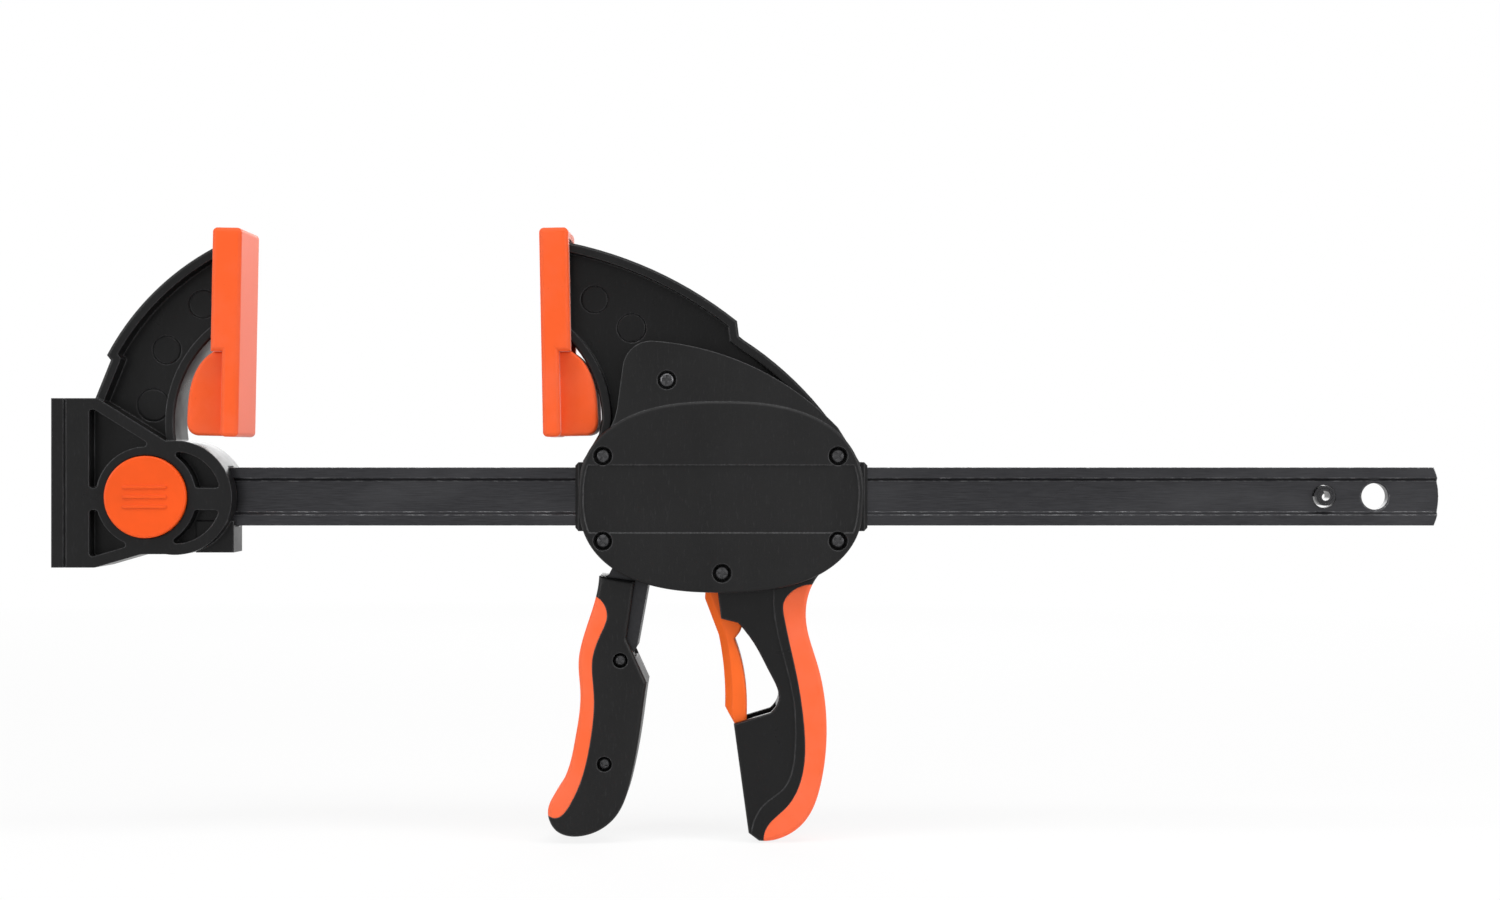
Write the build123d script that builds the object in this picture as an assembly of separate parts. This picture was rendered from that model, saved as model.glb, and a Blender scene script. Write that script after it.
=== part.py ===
from build123d import *
import os
from math import atan2, copysign, cos, degrees, radians, sin, tan

# One-handed bar clamp. Sizes are in millimetres.
# X runs along the bar from the fixed jaw to the sliding head, Z is up, Y is across.
# The shapes are drawn with Z = 0 on the bar's centreline. The finished pieces move down by
# pad_centre, which puts the origin at the centre of the fixed pad's clamping face.
# The sliding head is drawn with X = 0 on its own pad's face and set at jaw_opening when saved.

# Bar
bar_length = 558.0
bar_height = 24.0
bar_width = 10.0
bar_web = 6.0
flange_height = 4.4
flange_slope = 1.2
bar_end_bulge = 2.5
lock_hole_diameter = 11.0
lock_hole_from_end = 26.2
stop_pin_diameter = 9.5
stop_pin_wall = 2.4
stop_pin_slit = 1.8
stop_pin_from_end = 47.2
hole_chamfer = 0.5

# Clearances
slide_gap = 0.3        # between the bar and the plastic that slides on it
running_gap = 0.06     # radial, between a pin and what turns on it
seat_gap = 0.1         # between pieces that are pressed or snapped together
moving_gap = 0.5       # around a moving piece inside its housing

# Soft pads
pad_height = 85.4
pad_centre = 67.2      # above the bar's centreline
pad_width = 37.5
pad_slab = 7.2
pad_depth = 11.9
pad_top_wall = 4.2
pad_skirt_height = 50.6
pad_tongue = 22.3
pad_edge = 2.0
tongue_edge = 1.4
toe_in = 1.1           # degrees; the pads' upper ends meet first
jaw_opening = 122.7    # between the pad centres as the clamp stands

# Arms of the two jaws
arm_width = 24.0
arm_web = 6.0
arm_rim = 3.8
arm_edge = 0.8
disc_groove = 0.5        # width and depth of the ejector rings on the webs

# Head of the fixed jaw
jaw_width = 30.0
lock_x = -39.0         # the lock's axis, across the bar
jaw_left = -77.7
jaw_top = 40.4
jaw_bottom = -28.9
jaw_disc_radius = 23.4
jaw_disc_x = -27.2
jaw_rib = 4.6
jaw_pocket_left = -62.2
jaw_web = 14.4
spreader_thickness = 5.0
spreader_groove = 0.9

# Lock
button_radius = 16.8
button_proud = 2.2
button_crown = 2.6
button_skirt = 1.6
button_depth = 4.4
button_ring = 3.8
yoke_plate = 2.4
yoke_half_length = 7.0
peg_grip = 5.0
peg_clearance = 0.3
lock_spring_wire = 1.0
lock_spring_base = 11.0  # radii of the cone and its turns
lock_spring_tip = 6.5
lock_spring_turns = 2.5

# Housing of the sliding head
housing_x = 73.5
housing_half_length = 58.2
housing_half_height = 39.0
housing_squareness = 2.45
cover_outer = 19.0
cover_inner = 15.8
cover_rim = 3.0
lobe_step = 0.8
band_height = 27.7
band_centre = -0.7
band_depth = 0.6
collar_proud = 2.0       # how far each collar stands out of the oval
collar_root = 46.0       # from the oval's centre to where the collars end inside it
guide_length = 9.0
collar_width = 17.0
collar_height = 28.4
collar_chamfer = 1.4

# Mechanism
pivot_x = 42.3
pivot_z = 29.0
pivot_pin_diameter = 8.0
pivot_boss_radius = 9.0
lever_gauge = 2.8
lever_width = 23.6
lever_eye_radius = 9.0
nose_reach = 13.0      # from the pivot down to the nose
nose_radius = 3.5
plate_gauge = 3.0
plate_count = 2
plate_width = 17.0
plate_tilt = 3.0
plate_slack = 0.6
plate_tab = 7.5
plate_foot = 6.0
drive_wire = 1.8
drive_turns = 3
drive_spring_room = 2.5  # from the bar's edge to the middle of the wire
spring_wall = 3.2
spring_wall_back = 13.0  # from the brake's anchor to the wall's near face
brake_gauge = 4.0
brake_anchor_x = 75.8
brake_anchor_z = 23.4
brake_cant = 4.6
brake_slack = 0.6
brake_foot = 15.0
brake_wire = 1.2
brake_coil_radius = 4.0
brake_spring_turns = 4
brake_spring_drop = 7.0  # from the bar's lower edge to the spring's axis
brake_room = 10.5      # from the anchor to the wall behind the brake plate's spring
trigger_back = 1.1     # from the anchor to the back of the trigger's head

# Trigger, grip and squeeze handle
trigger_width = 16.0
trigger_bevel = 3.0
trigger_edge = 1.2
grip_proud = 0.5       # on each side of the arm's width
grip_edge = 1.9
panel_depth = 0.7      # the sunk front part of the grip
skin = 2.2             # thickness of the orange layers at the back edge
skin_side = 1.2        # and on the faces
handle_width = 30.0
handle_wall = 2.9
handle_edge = 2.0

# Screws
screw_head_radius = 3.3
screw_head_height = 1.9
screw_shank_radius = 1.6
screw_recess_margin = 0.6
screw_boss_radius = 5.0
handle_screw_head = 2.5
handle_screw_sunk = 1.0
screw_top = 18.1
screw_length = 7.0
recess_arm = 0.9
recess_depth = 1.1

bar_left = lock_x - lock_hole_from_end
bar_right = bar_left + bar_length
stop_pin_x = bar_right - stop_pin_from_end
pad_bottom = pad_centre - pad_height / 2
pad_top = pad_centre + pad_height / 2
collar_left = housing_x - housing_half_length - collar_proud
collar_right = housing_x + housing_half_length + collar_proud
core_width = lever_width - 2 * lever_gauge - 2 * seat_gap
grip_width = arm_width + 2 * grip_proud
cover_screw_places = [
    (51.4, 47.8),
    (25.3, 16.8),
    (121.2, 16.8),
    (25.3, -17.9),
    (121.2, -17.9),
    (73.9, -31.0),
]
handle_screw_places = [(32.2, -66.9), (25.7, -109.3)]


# ---------------------------------------------------------------- drawing helpers


def outline(start, *steps):
    """Closed face seen from the front.

    A step is a point for a line, (through, end) for an arc or a list of points for a curve.
    """
    edges = []
    here = start
    for step in steps:
        if isinstance(step, list):
            end = step[-1]
            edges.append(Spline(here, *step))
        elif isinstance(step[0], tuple):
            through, end = step
            edges.append(ThreePointArc(here, through, end))
        else:
            end = step
            edges.append(Line(here, end))
        here = end
    if here != start:
        edges.append(Line(here, start))
    return make_face(edges)


def block(x_from, x_to, z_from, z_to):
    """Rectangle seen from the front."""
    centre = Pos((x_from + x_to) / 2, (z_from + z_to) / 2)
    return centre * Rectangle(x_to - x_from, z_to - z_from)


def disc(x, z, radius):
    return Pos(x, z) * Circle(radius)


def centred(face, width):
    """Solid of a front view, centred across the clamp."""
    return extrude(Plane.XZ * face, width / 2, both=True)


def between(face, y_from, y_to):
    """Solid of a front view from one depth to another."""
    return extrude(Plane.XZ.offset(-y_to) * face, y_to - y_from)


def both_sides(solid):
    """The solid and its mirror image across the clamp."""
    return solid + mirror(solid, about=Plane.XZ)


def rounded(face, radius):
    """Front view with its outward corners rounded."""
    return offset(offset(face, -radius, kind=Kind.INTERSECTION), radius, kind=Kind.ARC)


def rounded_slab(face, width, edge):
    """Slab of a front view with rounded rims."""
    slab = centred(face, width)
    sides = slab.faces().sort_by(Axis.Y)
    return fillet(sides[0].edges() + sides[-1].edges(), edge)


def swing(x, z, angle):
    """Turn about an axis across the clamp; a positive angle swings what hangs below towards +X."""
    return Pos(x, 0, z) * Rot(0, -angle, 0) * Pos(-x, 0, -z)


def coil(wire, radius, length, turns, end_radius=None):
    """Coil spring along +X from x = 0; with an end radius it is a cone."""
    end_radius = radius if end_radius is None else end_radius
    rise = length - wire
    cone_angle = degrees(atan2(end_radius - radius, rise))
    path = Helix(rise / turns, rise, radius, cone_angle=cone_angle)
    section = Plane(path @ 0, z_dir=path % 0) * Circle(wire / 2)
    spring = sweep(section, path, is_frenet=True)
    return Rot(0, 90, 0) * Pos(0, 0, wire / 2) * spring


def save(name, x, shape):
    """Writes one node, set along the bar; the solids of a list stay separate pieces of it."""
    place = Pos(x, 0, -pad_centre)
    if isinstance(shape, list):
        node = Compound(children=[place * solid for solid in shape])
    else:
        node = place * shape
    export_step(node, f"parts/{name}.step")


# ---------------------------------------------------------------- bar


def bar():
    half = bar_height / 2
    side = outline(
        (bar_left + bar_end_bulge, -half),
        (bar_right - bar_end_bulge, -half),
        ((bar_right, 0), (bar_right - bar_end_bulge, half)),
        (bar_left + bar_end_bulge, half),
        ((bar_left, 0), (bar_left + bar_end_bulge, -half)),
    )
    body = centred(side, bar_width)
    mouth = half - flange_height
    floor = mouth - flange_slope
    groove = make_face(
        Polyline(
            (bar_width / 2, mouth),
            (bar_web / 2, floor),
            (bar_web / 2, -floor),
            (bar_width / 2, -mouth),
            close=True,
        )
    )
    body -= both_sides(Pos(bar_left, 0, 0) * extrude(Plane.YZ * groove, bar_length))
    for x in (lock_x, bar_right - lock_hole_from_end):
        body -= centred(disc(x, 0, lock_hole_diameter / 2), bar_width)
    body -= centred(disc(stop_pin_x, 0, stop_pin_diameter / 2), bar_width)
    rims = [
        edge
        for edge in body.edges().filter_by(GeomType.CIRCLE)
        if abs(edge.radius - lock_hole_diameter / 2) < 0.01
    ]
    return chamfer(rims, hole_chamfer)


def stop_pin():
    outer = stop_pin_diameter / 2 - running_gap / 2
    ring = disc(stop_pin_x, 0, outer) - disc(stop_pin_x, 0, outer - stop_pin_wall)
    slit = block(stop_pin_x - outer - 1, stop_pin_x, -stop_pin_slit / 2, stop_pin_slit / 2)
    return centred(ring - slit, bar_width)


# ---------------------------------------------------------------- jaws and pads


def behind_pad(z):
    """How far behind the pad face's centre the arm ends at a height, along the leaning pad."""
    return pad_slab + seat_gap - (z - pad_centre) * tan(radians(toe_in))


def soft_pad():
    """Pad of the fixed jaw, upright, with its clamping face on x = 0."""
    half = pad_width / 2
    slab = centred(block(-pad_slab, 0, pad_bottom, pad_top), pad_width)
    skirt = centred(block(-pad_depth, -pad_slab, pad_top - pad_skirt_height, pad_top), pad_width)
    body = slab + skirt
    corners = body.edges().filter_by(Axis.Y)
    body = fillet(corners.group_by(Axis.Z)[-1] + corners.group_by(Axis.Z)[0], pad_edge)
    faces = body.faces().sort_by(Axis.Y)
    body = fillet(faces[0].edges() + faces[-1].edges(), pad_edge)
    pocket = block(
        -pad_depth - 1, -pad_slab, pad_top - pad_skirt_height - 1, pad_top - pad_top_wall
    )
    body -= centred(pocket, arm_width + 2 * seat_gap)
    low = pad_bottom + 0.3
    high = pad_bottom + 35.2
    tongue = outline(
        (1 - pad_slab, low),
        (4.5 - pad_tongue, low),
        [
            (0.9 - pad_tongue, low + 2.0),
            (-pad_tongue, low + 8.0),
            (0.8 - pad_tongue, low + 18.5),
            (3.2 - pad_tongue, low + 26.5),
            (10.8 - pad_tongue, high),
        ],
        (1 - pad_slab, high),
    )
    return body + rounded_slab(tongue, arm_width + 2 * seat_gap, tongue_edge)


def fixed_pad():
    return Pos(0, 0, pad_centre) * Rot(0, toe_in, 0) * Pos(0, 0, -pad_centre) * soft_pad()


def moving_pad():
    return mirror(fixed_pad(), about=Plane.YZ)


def ribbed_arm(face, pocket, ejector_rings):
    """Arm with a rim all round and a thin web, open on both sides."""
    arm = centred(face, arm_width)
    sides = arm.faces().sort_by(Axis.Y)
    arm = chamfer(sides[0].edges() + sides[-1].edges(), arm_edge)
    hollow = between(pocket, arm_web / 2, arm_width / 2)
    arm -= both_sides(hollow)
    for x, z, radius in ejector_rings:
        ring = disc(x, z, radius) - disc(x, z, radius - disc_groove)
        arm -= both_sides(between(ring, arm_web / 2 - disc_groove, arm_web / 2))
    return arm


def fixed_arm_face():
    return outline(
        (-behind_pad(104.9), 104.9),
        ((-33.5, 87.0), (-55.9, 58.1)),
        (-54.3, 56.1),
        (-62.0, 37.0),
        (-62.0, 12.0),
        (-27.2, 12.0),
        (-27.6, 24.0),
        ((-23.8, 50.0), (-behind_pad(69.4), 69.4)),
    )


def jaw_head_face():
    """Side view of the fixed jaw's head: spreader plate, sloping rib and round nose."""
    body = outline(
        (jaw_left, jaw_bottom),
        (-60.0, jaw_bottom),
        (-41.0, -jaw_disc_radius),
        (jaw_disc_x, -jaw_disc_radius),
        (jaw_disc_x, jaw_disc_radius - 0.4),
        (-31.0, jaw_disc_radius - 0.4),
        (-58.8, jaw_top),
        (jaw_left, jaw_top),
    )
    return body + disc(jaw_disc_x, -0.3, jaw_disc_radius)


def fixed_jaw():
    """Arm, head and sleeve in one moulding."""
    arm_face = fixed_arm_face()
    arm_pocket = offset(arm_face, -arm_rim, kind=Kind.INTERSECTION)
    rings = [(-18.3, 79.6, 6.0), (-33.3, 60.6, 6.0), (-38.8, 37.8, 6.9)]
    jaw = ribbed_arm(arm_face, arm_pocket, rings)

    head_face = jaw_head_face()
    head = centred(head_face, jaw_width)
    ring = disc(lock_x, 0, button_radius + button_ring)
    rib = block(jaw_pocket_left, jaw_disc_x + jaw_disc_radius, -5.3, 3.7)
    window = offset(head_face, -jaw_rib, kind=Kind.INTERSECTION)
    window &= block(jaw_pocket_left, 0, jaw_bottom, jaw_top)
    window = window - ring - rib
    window = rounded(window, 1.2)
    jaw += head
    jaw -= both_sides(between(window, jaw_web / 2, jaw_width / 2))
    groove_x = jaw_left + spreader_thickness
    groove = block(groove_x, groove_x + spreader_groove, jaw_bottom - 1, jaw_top + 1)
    jaw -= both_sides(between(groove, jaw_width / 2 - spreader_groove, jaw_width / 2))
    jaw += centred(block(-20.0, -4.5, -23.0, -10.0), jaw_web + 2)

    jaw -= bar_passage(bar_left - moving_gap, 0)
    recess = disc(lock_x, 0, button_radius + slide_gap)
    jaw -= both_sides(between(recess, jaw_web / 2, jaw_width / 2))
    jaw -= centred(yoke_leg_face(moving_gap / 2), jaw_web)
    peg_bore = lock_hole_diameter / 2
    jaw -= between(disc(lock_x, 0, peg_bore), 0, jaw_web / 2)
    return jaw


def bar_passage(x_from, x_to):
    """Hole that the bar slides in."""
    half_height = bar_height / 2 + slide_gap
    return centred(block(x_from, x_to, -half_height, half_height), bar_width + 2 * slide_gap)


# ---------------------------------------------------------------- lock


def yoke_leg_face(margin):
    """Side view of the yoke's legs, above and below the bar's passage."""
    outer = button_radius - button_skirt - seat_gap + margin
    half = yoke_half_length + margin
    bars = disc(lock_x, 0, outer) & block(lock_x - half, lock_x + half, -outer, outer)
    inner = bar_height / 2 + slide_gap - margin
    return bars - block(lock_x - half, lock_x + half, -inner, inner)


def lock_button():
    """Round cap with a skirt and a crowned face; three raised bars give it grip."""
    face_y = -jaw_width / 2 - button_proud
    cap = between(disc(lock_x, 0, button_radius), face_y, face_y + button_depth)
    cap = fillet(cap.edges().sort_by(Axis.Y)[0], button_skirt / 2)
    hollow_radius = button_radius - button_skirt
    cap -= between(disc(lock_x, 0, hollow_radius), face_y + button_crown, face_y + button_depth)
    for step in (-1, 0, 1):
        rib = block(lock_x - 9, lock_x + 9, 4 * step - 0.6, 4 * step + 0.6)
        cap += between(fillet(rib.vertices(), 0.55), face_y - 0.4, face_y + 0.5)
    return cap


def yoke_back_y():
    return jaw_web / 2 + seat_gap


def lock_yoke():
    """Two legs past the bar, joined by a round plate behind it that carries the peg."""
    cap_inside = -jaw_width / 2 - button_proud + button_crown
    yoke = between(yoke_leg_face(0), cap_inside, yoke_back_y() + yoke_plate)
    plate = disc(lock_x, 0, button_radius) - disc(lock_x, 0, lock_hole_diameter / 4)
    return yoke + between(plate, yoke_back_y(), yoke_back_y() + yoke_plate)


def lock_peg():
    """Peg in the bar's hole, riveted in the yoke's plate."""
    radius = lock_hole_diameter / 2 - peg_clearance
    tip = bar_web / 2 - peg_grip
    peg = between(disc(lock_x, 0, radius), tip, yoke_back_y())
    peg = chamfer(peg.edges().sort_by(Axis.Y)[0], 0.8)
    spigot = disc(lock_x, 0, lock_hole_diameter / 4 - running_gap / 2)
    return peg + between(spigot, yoke_back_y(), yoke_back_y() + yoke_plate)


def lock_spring():
    """Conical spring under the button."""
    floor_y = -jaw_web / 2
    cap_inside = -jaw_width / 2 - button_proud + button_crown
    length = floor_y - cap_inside - 2 * seat_gap
    cone = coil(lock_spring_wire, lock_spring_base, length, lock_spring_turns,
                end_radius=lock_spring_tip)
    return Pos(lock_x, cap_inside + seat_gap, 0) * Rot(0, 0, 90) * cone


# ---------------------------------------------------------------- housing of the sliding head


def housing_face(margin):
    """Squared oval around the bar, shrunk by a margin."""
    length = housing_half_length - margin
    height = housing_half_height - margin
    power = 2 / housing_squareness
    points = []
    for step in range(24):
        turn = radians(15 * step)
        across = copysign(abs(cos(turn)) ** power, cos(turn))
        up = copysign(abs(sin(turn)) ** power, sin(turn))
        points.append((housing_x + length * across, height * up))
    return make_face(Spline(*points, periodic=True))


def lobe_face():
    """Raised shoulder of the cover that runs up into the arm."""
    return outline(
        (20.3, 5.0),
        (23.7, 22.1),
        ((28.7, 29.0), (31.5, 39.2)),
        (33.4, 53.0),
        ((37.0, 60.5), (45.8, 63.7)),
        ((90.4, 51.3), (121.2, 28.3)),
        (130.2, 13.9),
        (129.3, 5.0),
    )


def screw_recesses():
    """Recesses and shank holes for the screws of one cover, on the front side."""
    heads = Sketch()
    shanks = Sketch()
    for x, z in cover_screw_places:
        heads += disc(x, z, screw_head_radius + screw_recess_margin)
        shanks += disc(x, z, screw_shank_radius + running_gap)
    under_head = screw_head_height - screw_top
    tool = between(heads, -cover_outer, under_head)
    return tool + between(shanks, under_head, under_head + screw_length)


def cover_front():
    """Shell over the mechanism: lobe, raised oval with a sunk band, rim, screw and pin bosses."""
    oval = housing_face(0)
    rim_y = -arm_width / 2
    lobe = between(lobe_face(), lobe_step - cover_outer, rim_y)
    raised = between(oval, -cover_outer, rim_y)
    raised = fillet(raised.faces().sort_by(Axis.Y)[0].edges(), 1.2)
    cover = lobe + raised

    low = band_centre - band_height / 2
    high = band_centre + band_height / 2
    band = housing_face(2.0) & block(0, 2 * housing_x, low, high)
    cover -= between(band, -cover_outer, band_depth - cover_outer)

    hollow = housing_face(cover_rim) + offset(lobe_face(), -cover_rim, kind=Kind.INTERSECTION)
    for x, z in cover_screw_places:
        hollow -= disc(x, z, screw_boss_radius)
    hollow -= disc(pivot_x, pivot_z, pivot_pin_diameter)
    hollow += block(20.3, 65.3, -45.0, -22.0)
    cover -= between(hollow, -cover_inner, rim_y)
    pin_seat = disc(pivot_x, pivot_z, pivot_pin_diameter / 2 + running_gap / 2)
    cover -= between(pin_seat, -pin_end_y(), rim_y)
    return cover - screw_recesses()


def cover_back():
    return mirror(cover_front(), about=Plane.XZ)


def pan_screw(x, z, top_y, length, head_radius):
    """Pan-head screw driven along +Y, with a cross recess."""
    head = between(disc(x, z, head_radius), top_y, top_y + screw_head_height)
    head = fillet(head.edges().sort_by(Axis.Y)[0], screw_head_height * 0.6)
    shank_from = top_y + screw_head_height
    screw = head + between(disc(x, z, screw_shank_radius), shank_from, shank_from + length)
    width = recess_arm / 2
    reach = 0.6 * head_radius
    for cross in (
        block(x - reach, x + reach, z - width, z + width),
        block(x - width, x + width, z - reach, z + reach),
    ):
        screw -= between(cross, top_y, top_y + recess_depth)
    return screw


def cover_screws_front():
    screws = []
    for x, z in cover_screw_places:
        screws.append(pan_screw(x, z, -screw_top, screw_length, screw_head_radius))
    return screws


def cover_screws_back():
    return [mirror(screw, about=Plane.XZ) for screw in cover_screws_front()]


# ---------------------------------------------------------------- frame of the sliding head


def moving_arm_face():
    seat_x = behind_pad(105.2)
    throat_x = behind_pad(67.6)
    return outline(
        (seat_x, 105.2),
        ((48.3, 91.9), (80.0, 72.1)),
        (80.8, 65.9),
        (82.8, 64.3),
        ((112.3, 38.5), (129.2, 13.9)),
        (127.3, 0.0),
        (19.3, 0.0),
        (16.7, 14.7),
        (23.2, 25.5),
        (24.5, 31.9),
        ((20.6, 50.0), (throat_x, 67.6)),
    )


def grip_face():
    """Pistol grip with the cheeks of the trigger and the lower block."""
    return outline(
        (69.3, -25.0),
        (71.9, -38.0),
        (73.4, -50.1),
        (80.4, -51.8),
        [(87.3, -60.8), (93.5, -72.5), (97.1, -82.0), (93.7, -88.6)],
        (78.6, -93.2),
        (84.7, -138.0),
        (89.0, -141.2),
        [(97.0, -140.4), (107.0, -134.2), (114.7, -116.6), (116.8, -97.0),
         (113.1, -69.0), (108.3, -50.5), (109.9, -38.5), (117.5, -28.5)],
        (113.3, -20.0),
        (69.3, -20.0),
    )


def grip_layer_face():
    """Where the orange layer lies on the pistol grip, seen from the side."""
    return outline(
        (122.0, -35.0),
        (110.2, -36.0),
        [(102.5, -38.8), (99.1, -43.5), (99.3, -49.0), (104.2, -71.8), (107.6, -95.0),
         (106.0, -117.0), (100.1, -127.5), (93.3, -134.0), (91.0, -142.5)],
        (122.0, -142.5),
    )


def grip_panel_face():
    """Front part of the grip, sunk below the raised border beside the soft layer."""
    panel = outline(
        (60.0, -20.0),
        (96.0, -20.0),
        (95.1, -38.1),
        [(95.7, -50.3), (99.1, -65.3), (103.2, -83.0), (103.9, -102.0), (102.5, -112.9),
         (99.1, -119.7), (95.1, -123.0), (90.3, -127.1), (86.9, -133.2), (86.0, -143.0)],
        (60.0, -143.0),
    )
    return panel - housing_face(-seat_gap)


def grip_slab():
    """Whole pistol grip, cut back where the covers' rims lie beside it."""
    grip = rounded_slab(grip_face(), grip_width, grip_edge)
    beside = between(housing_face(-seat_gap), arm_width / 2, grip_width / 2)
    panel = between(grip_panel_face(), grip_width / 2 - panel_depth, grip_width / 2)
    return grip - both_sides(beside + panel)


def grip_overmould():
    """Soft layer that wraps the back of the pistol grip."""
    layer = grip_slab() & centred(grip_layer_face(), grip_width)
    return layer - grip_core()


def collar(x_tip, x_root):
    """Sleeve around the bar at one end of the housing."""
    sleeve = centred(block(min(x_tip, x_root), max(x_tip, x_root), -collar_height / 2,
                           collar_height / 2), collar_width)
    tip = sleeve.faces().sort_by(Axis.X)[0 if x_tip < x_root else -1]
    return chamfer(tip.edges(), collar_chamfer)


def guide_rib(x_from, x_to):
    """Ribs that run in the bar's grooves; the stop pin catches them."""
    inner = bar_web / 2 + slide_gap
    face = block(x_from, x_to, -4.5, 4.5)
    return both_sides(between(face, inner, bar_width / 2 + slide_gap + 1))


def lever_space():
    """Room for the lever, the drive plates and their spring; open below for the handle."""
    wall_x = spring_wall_x()
    bar_level = bar_height / 2 + slide_gap
    tab_level = bar_height / 2 + plate_tab + 2.5
    low = outline(
        (30.3, bar_level),
        (30.3, -21.0),
        (16.3, -25.0),
        (16.3, -50.0),
        (wall_x, -50.0),
        (wall_x, bar_level),
    )
    tabs = block(36.3, wall_x, bar_level, tab_level) - disc(pivot_x, pivot_z, pivot_boss_radius)
    space = centred(low + tabs, arm_width)
    beside = disc(pivot_x, pivot_z, lever_eye_radius + 1) + block(32.3, 55.3, 10.0, pivot_z)
    return space + both_sides(between(beside, core_width / 2, arm_width / 2))


def spring_wall_x():
    return brake_anchor_x - spring_wall_back


def brake_space():
    """Room for the brake plate, its spring and the trigger."""
    left = spring_wall_x() + spring_wall
    half = plate_width / 2 + moving_gap
    notch = brake_gauge / 2 + seat_gap
    cavity = block(left, brake_anchor_x + brake_room, -36.0, 17.0)
    throat = outline(
        (brake_anchor_x - notch, brake_anchor_z),
        (brake_anchor_x - notch - 1.0, 17.0),
        (brake_anchor_x + notch + 1.0, 17.0),
        (brake_anchor_x + notch, brake_anchor_z),
    )
    face = cavity + throat + disc(brake_anchor_x, brake_anchor_z, notch)
    trigger_slot = block(left, 91.8, -60.0, -30.0)
    foot_slot = block(76.3, 96.3, -98.6, -86.0)
    slots = centred(trigger_slot + foot_slot, trigger_width + 2 * moving_gap)
    return centred(face, 2 * half) + slots


def head_frame():
    """Arm, housing, collars, trigger cheeks and pistol grip in one moulding."""
    arm_face = moving_arm_face()
    pocket = offset(arm_face, -arm_rim, kind=Kind.INTERSECTION) - lobe_face()
    rings = [(21.0, 81.5, 5.8), (36.3, 69.7, 6.1)]
    frame = ribbed_arm(arm_face, pocket, rings)
    frame += centred(housing_face(1.0), arm_width)
    frame += grip_slab()
    frame += collar(collar_left, housing_x - collar_root)
    frame += collar(collar_right, housing_x + collar_root)

    frame -= bar_passage(collar_left - 1, collar_right + 1)
    frame += guide_rib(collar_left + 3, collar_left + 3 + guide_length)
    frame += guide_rib(collar_right - guide_length, collar_right)
    frame -= lever_space()
    frame -= brake_space()
    boss = disc(pivot_x, pivot_z, pivot_pin_diameter / 2 + running_gap / 2)
    frame -= centred(boss, arm_width)
    for side in (screw_recesses(), mirror(screw_recesses(), about=Plane.XZ)):
        frame -= side
    return frame - centred(grip_layer_face(), grip_width) + grip_core()


def grip_core():
    """Hard core of the pistol grip under the soft layer."""
    inside = Pos(-skin, skin / 2) * grip_face()
    core = inside & grip_face() & grip_layer_face()
    return centred(core, grip_width - 2 * skin_side)


# ---------------------------------------------------------------- drive


def pin_end_y():
    return cover_inner - 1.6


def handle_pivot_pin():
    pin = centred(disc(pivot_x, pivot_z, pivot_pin_diameter / 2), 2 * (pin_end_y() - seat_gap))
    return chamfer(pin.edges().filter_by(GeomType.CIRCLE), 0.6)


def lever_face():
    """Side plate of the lever: eye, arm past the bar and tail inside the handle."""
    arm = outline(
        (33.3, 29.0),
        (32.5, -22.0),
        (26.3, -34.0),
        (23.7, -66.0),
        ((22.9, -90.0), (15.3, -114.0)),
        ((21.3, -121.0), (28.8, -114.0)),
        (32.8, -74.0),
        (36.3, -66.0),
        (38.9, -61.6),
        (43.5, -36.0),
        (45.3, -20.0),
        (51.3, 29.0),
    )
    return arm + disc(pivot_x, pivot_z, lever_eye_radius)


def drive_lever():
    """Fork of two side plates, joined by the nose that pushes the plates and by a web below."""
    face = lever_face() - disc(pivot_x, pivot_z, pivot_pin_diameter / 2 + running_gap)
    for x, z in handle_screw_places:
        face -= disc(x, z, screw_boss_radius + seat_gap)
    inner = lever_width / 2 - lever_gauge
    lever = both_sides(between(face, inner, lever_width / 2))
    nose = disc(pivot_x, pivot_z - nose_reach, nose_radius)
    web = outline((39.9, -34.5), (43.8, -34.5), (39.1, -61.0), (35.3, -61.0))
    return lever + centred(nose + (web & face), 2 * inner + 1)


def drive_plates():
    """Hardened plates around the bar, tilted as their spring holds them."""
    tall = outline(
        (-plate_gauge / 2, -bar_height / 2 - plate_foot),
        (plate_gauge / 2, -bar_height / 2 - plate_foot),
        (plate_gauge / 2, bar_height / 2 + plate_tab),
        (-plate_gauge / 2, bar_height / 2 + plate_tab),
    )
    half_slot = (bar_height + plate_slack) / 2
    slot = block(-plate_gauge, plate_gauge, -half_slot, half_slot)
    plate = centred(tall, plate_width)
    plate = chamfer(plate.edges().filter_by(Axis.X), 1.5)
    plate -= centred(slot, bar_width + 2 * slide_gap)
    tilt = radians(plate_tilt)
    contact_x = pivot_x + nose_radius + seat_gap
    first_x = contact_x - (pivot_z - nose_reach) * tan(tilt) + plate_gauge / 2 / cos(tilt)
    pitch = plate_gauge / cos(tilt)
    leaning = swing(0, 0, -plate_tilt) * plate
    return [Pos(first_x + step * pitch, 0, 0) * leaning for step in range(plate_count)]


def drive_spring():
    """Spring around the bar between the drive plates and the wall of the frame."""
    radius = bar_height / 2 + drive_spring_room
    plates = [plate.bounding_box() for plate in drive_plates()]
    start = plates[-1].max.X + seat_gap
    spring = coil(drive_wire, radius, spring_wall_x() - seat_gap - start, drive_turns)
    return Pos(start, 0, 0) * spring


# ---------------------------------------------------------------- brake and trigger


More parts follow.
